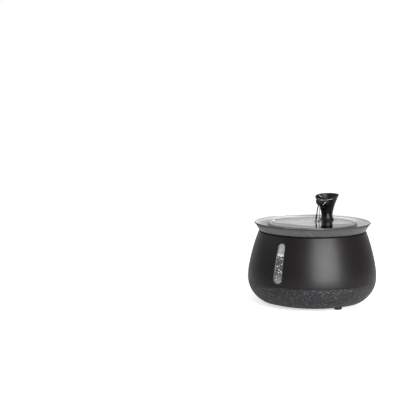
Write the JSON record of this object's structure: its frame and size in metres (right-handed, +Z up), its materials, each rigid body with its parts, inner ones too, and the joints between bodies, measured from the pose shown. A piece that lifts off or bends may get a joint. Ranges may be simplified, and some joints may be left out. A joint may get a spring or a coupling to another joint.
{
  "type": "pet water fountain",
  "caption": "Round pet drinking fountain: steel dish with a central pouring spout over a reservoir with a level window, recirculating pump and filter.",
  "frame": {"origin": "on the floor under the centre of the round casing", "axes": "+Z up; -Y towards the side with the level window; +Y towards the power inlet"},
  "size_m": [0.2428, 0.2428, 0.2034],
  "materials": {
    "shell_black": "satin, finely textured",
    "base_speckled": "satin with fine pale flecks",
    "bowl_steel": "fine brushing round the axis",
    "window_clear": "clear moulded plastic",
    "spout_black": "glossy",
    "foot_rubber": "matt",
    "seal_silicone": "matt silicone",
    "tank_grey": "smooth, pale grey",
    "pump_black": "moulded, satin",
    "dial_grey": "moulded, satin",
    "impeller_white": "moulded, smooth",
    "magnet": "ground ferrite",
    "shaft_ceramic": "ground",
    "bush_rubber": "matt",
    "core_steel": "laminated steel",
    "ferrite": "sintered",
    "copper": "enamelled wire",
    "board_green": "lacquered board",
    "inlet_metal": "plated",
    "screw_steel": "plated steel",
    "filter_clear": "smooth, pale",
    "socket_black": "satin",
    "filter_foam": "open-cell foam",
    "filter_felt": "felt with carbon inside"
  },
  "bodies": {
    "housing": {"base_shell": "base_speckled", "body_shell": "shell_black", "window_lens": "window_clear", "window_gasket": "seal_silicone", "base_screws": "screw_steel", "power_inlet": "inlet_metal", "control_board": "board_green", "board_screws": "screw_steel", "transmitter_coil": "copper", "coil_ferrite": "ferrite", "coil_leads": "copper", "reservoir_tank": "tank_grey", "tank_gasket": "seal_silicone", "pump_housing": "pump_black", "pump_suction_cups": "seal_silicone", "volute_cover": "pump_black", "shaft_bush_front": "bush_rubber", "shaft_bush_rear": "bush_rubber", "impeller_shaft": "shaft_ceramic", "stator_core": "core_steel", "stator_windings": "copper", "receiver_coil": "copper", "riser_tube": "pump_black", "foot_right": "foot_rubber", "foot_back": "foot_rubber", "foot_left": "foot_rubber"},
    "impeller": {"impeller": "impeller_white", "rotor_magnet": "magnet"},
    "pump_cover": {"pump_cover": "pump_black", "pump_foam": "filter_foam"},
    "flow_dial": {"flow_dial": "dial_grey"},
    "bowl": {"drinking_bowl": "bowl_steel", "bowl_seal": "seal_silicone", "spout_socket": "socket_black", "socket_nut": "socket_black", "socket_washer": "seal_silicone"},
    "spout": {"spout": "spout_black", "spout_o_ring": "seal_silicone"},
    "filter": {"filter_basket": "filter_clear", "filter_pad": "filter_felt", "filter_grid": "filter_clear"}
  },
  "joints": [
    {"name": "bowl_lift", "type": "slide", "parent": "housing", "child": "bowl", "axis": [0, 0, 1], "range_m": [0, 0.06]},
    {"name": "spout_pull", "type": "slide", "parent": "bowl", "child": "spout", "axis": [0, 0, 1], "range_m": [0, 0.045]},
    {"name": "filter_pull", "type": "slide", "parent": "bowl", "child": "filter", "axis": [0, 0, -1], "range_m": [0, 0.03]},
    {"name": "impeller_spin", "type": "hinge", "parent": "housing", "child": "impeller", "pos_m": [0, 0.054, 0.043], "axis": [0, 1, 0], "continuous": true},
    {"name": "pump_cover_pull", "type": "slide", "parent": "housing", "child": "pump_cover", "axis": [0, -1, 0], "range_m": [0, 0.018]},
    {"name": "flow_dial_turn", "type": "hinge", "parent": "pump_cover", "child": "flow_dial", "pos_m": [0, 0.02, 0.043], "axis": [0, 1, 0], "range_deg": [0, 45]}
  ]
}
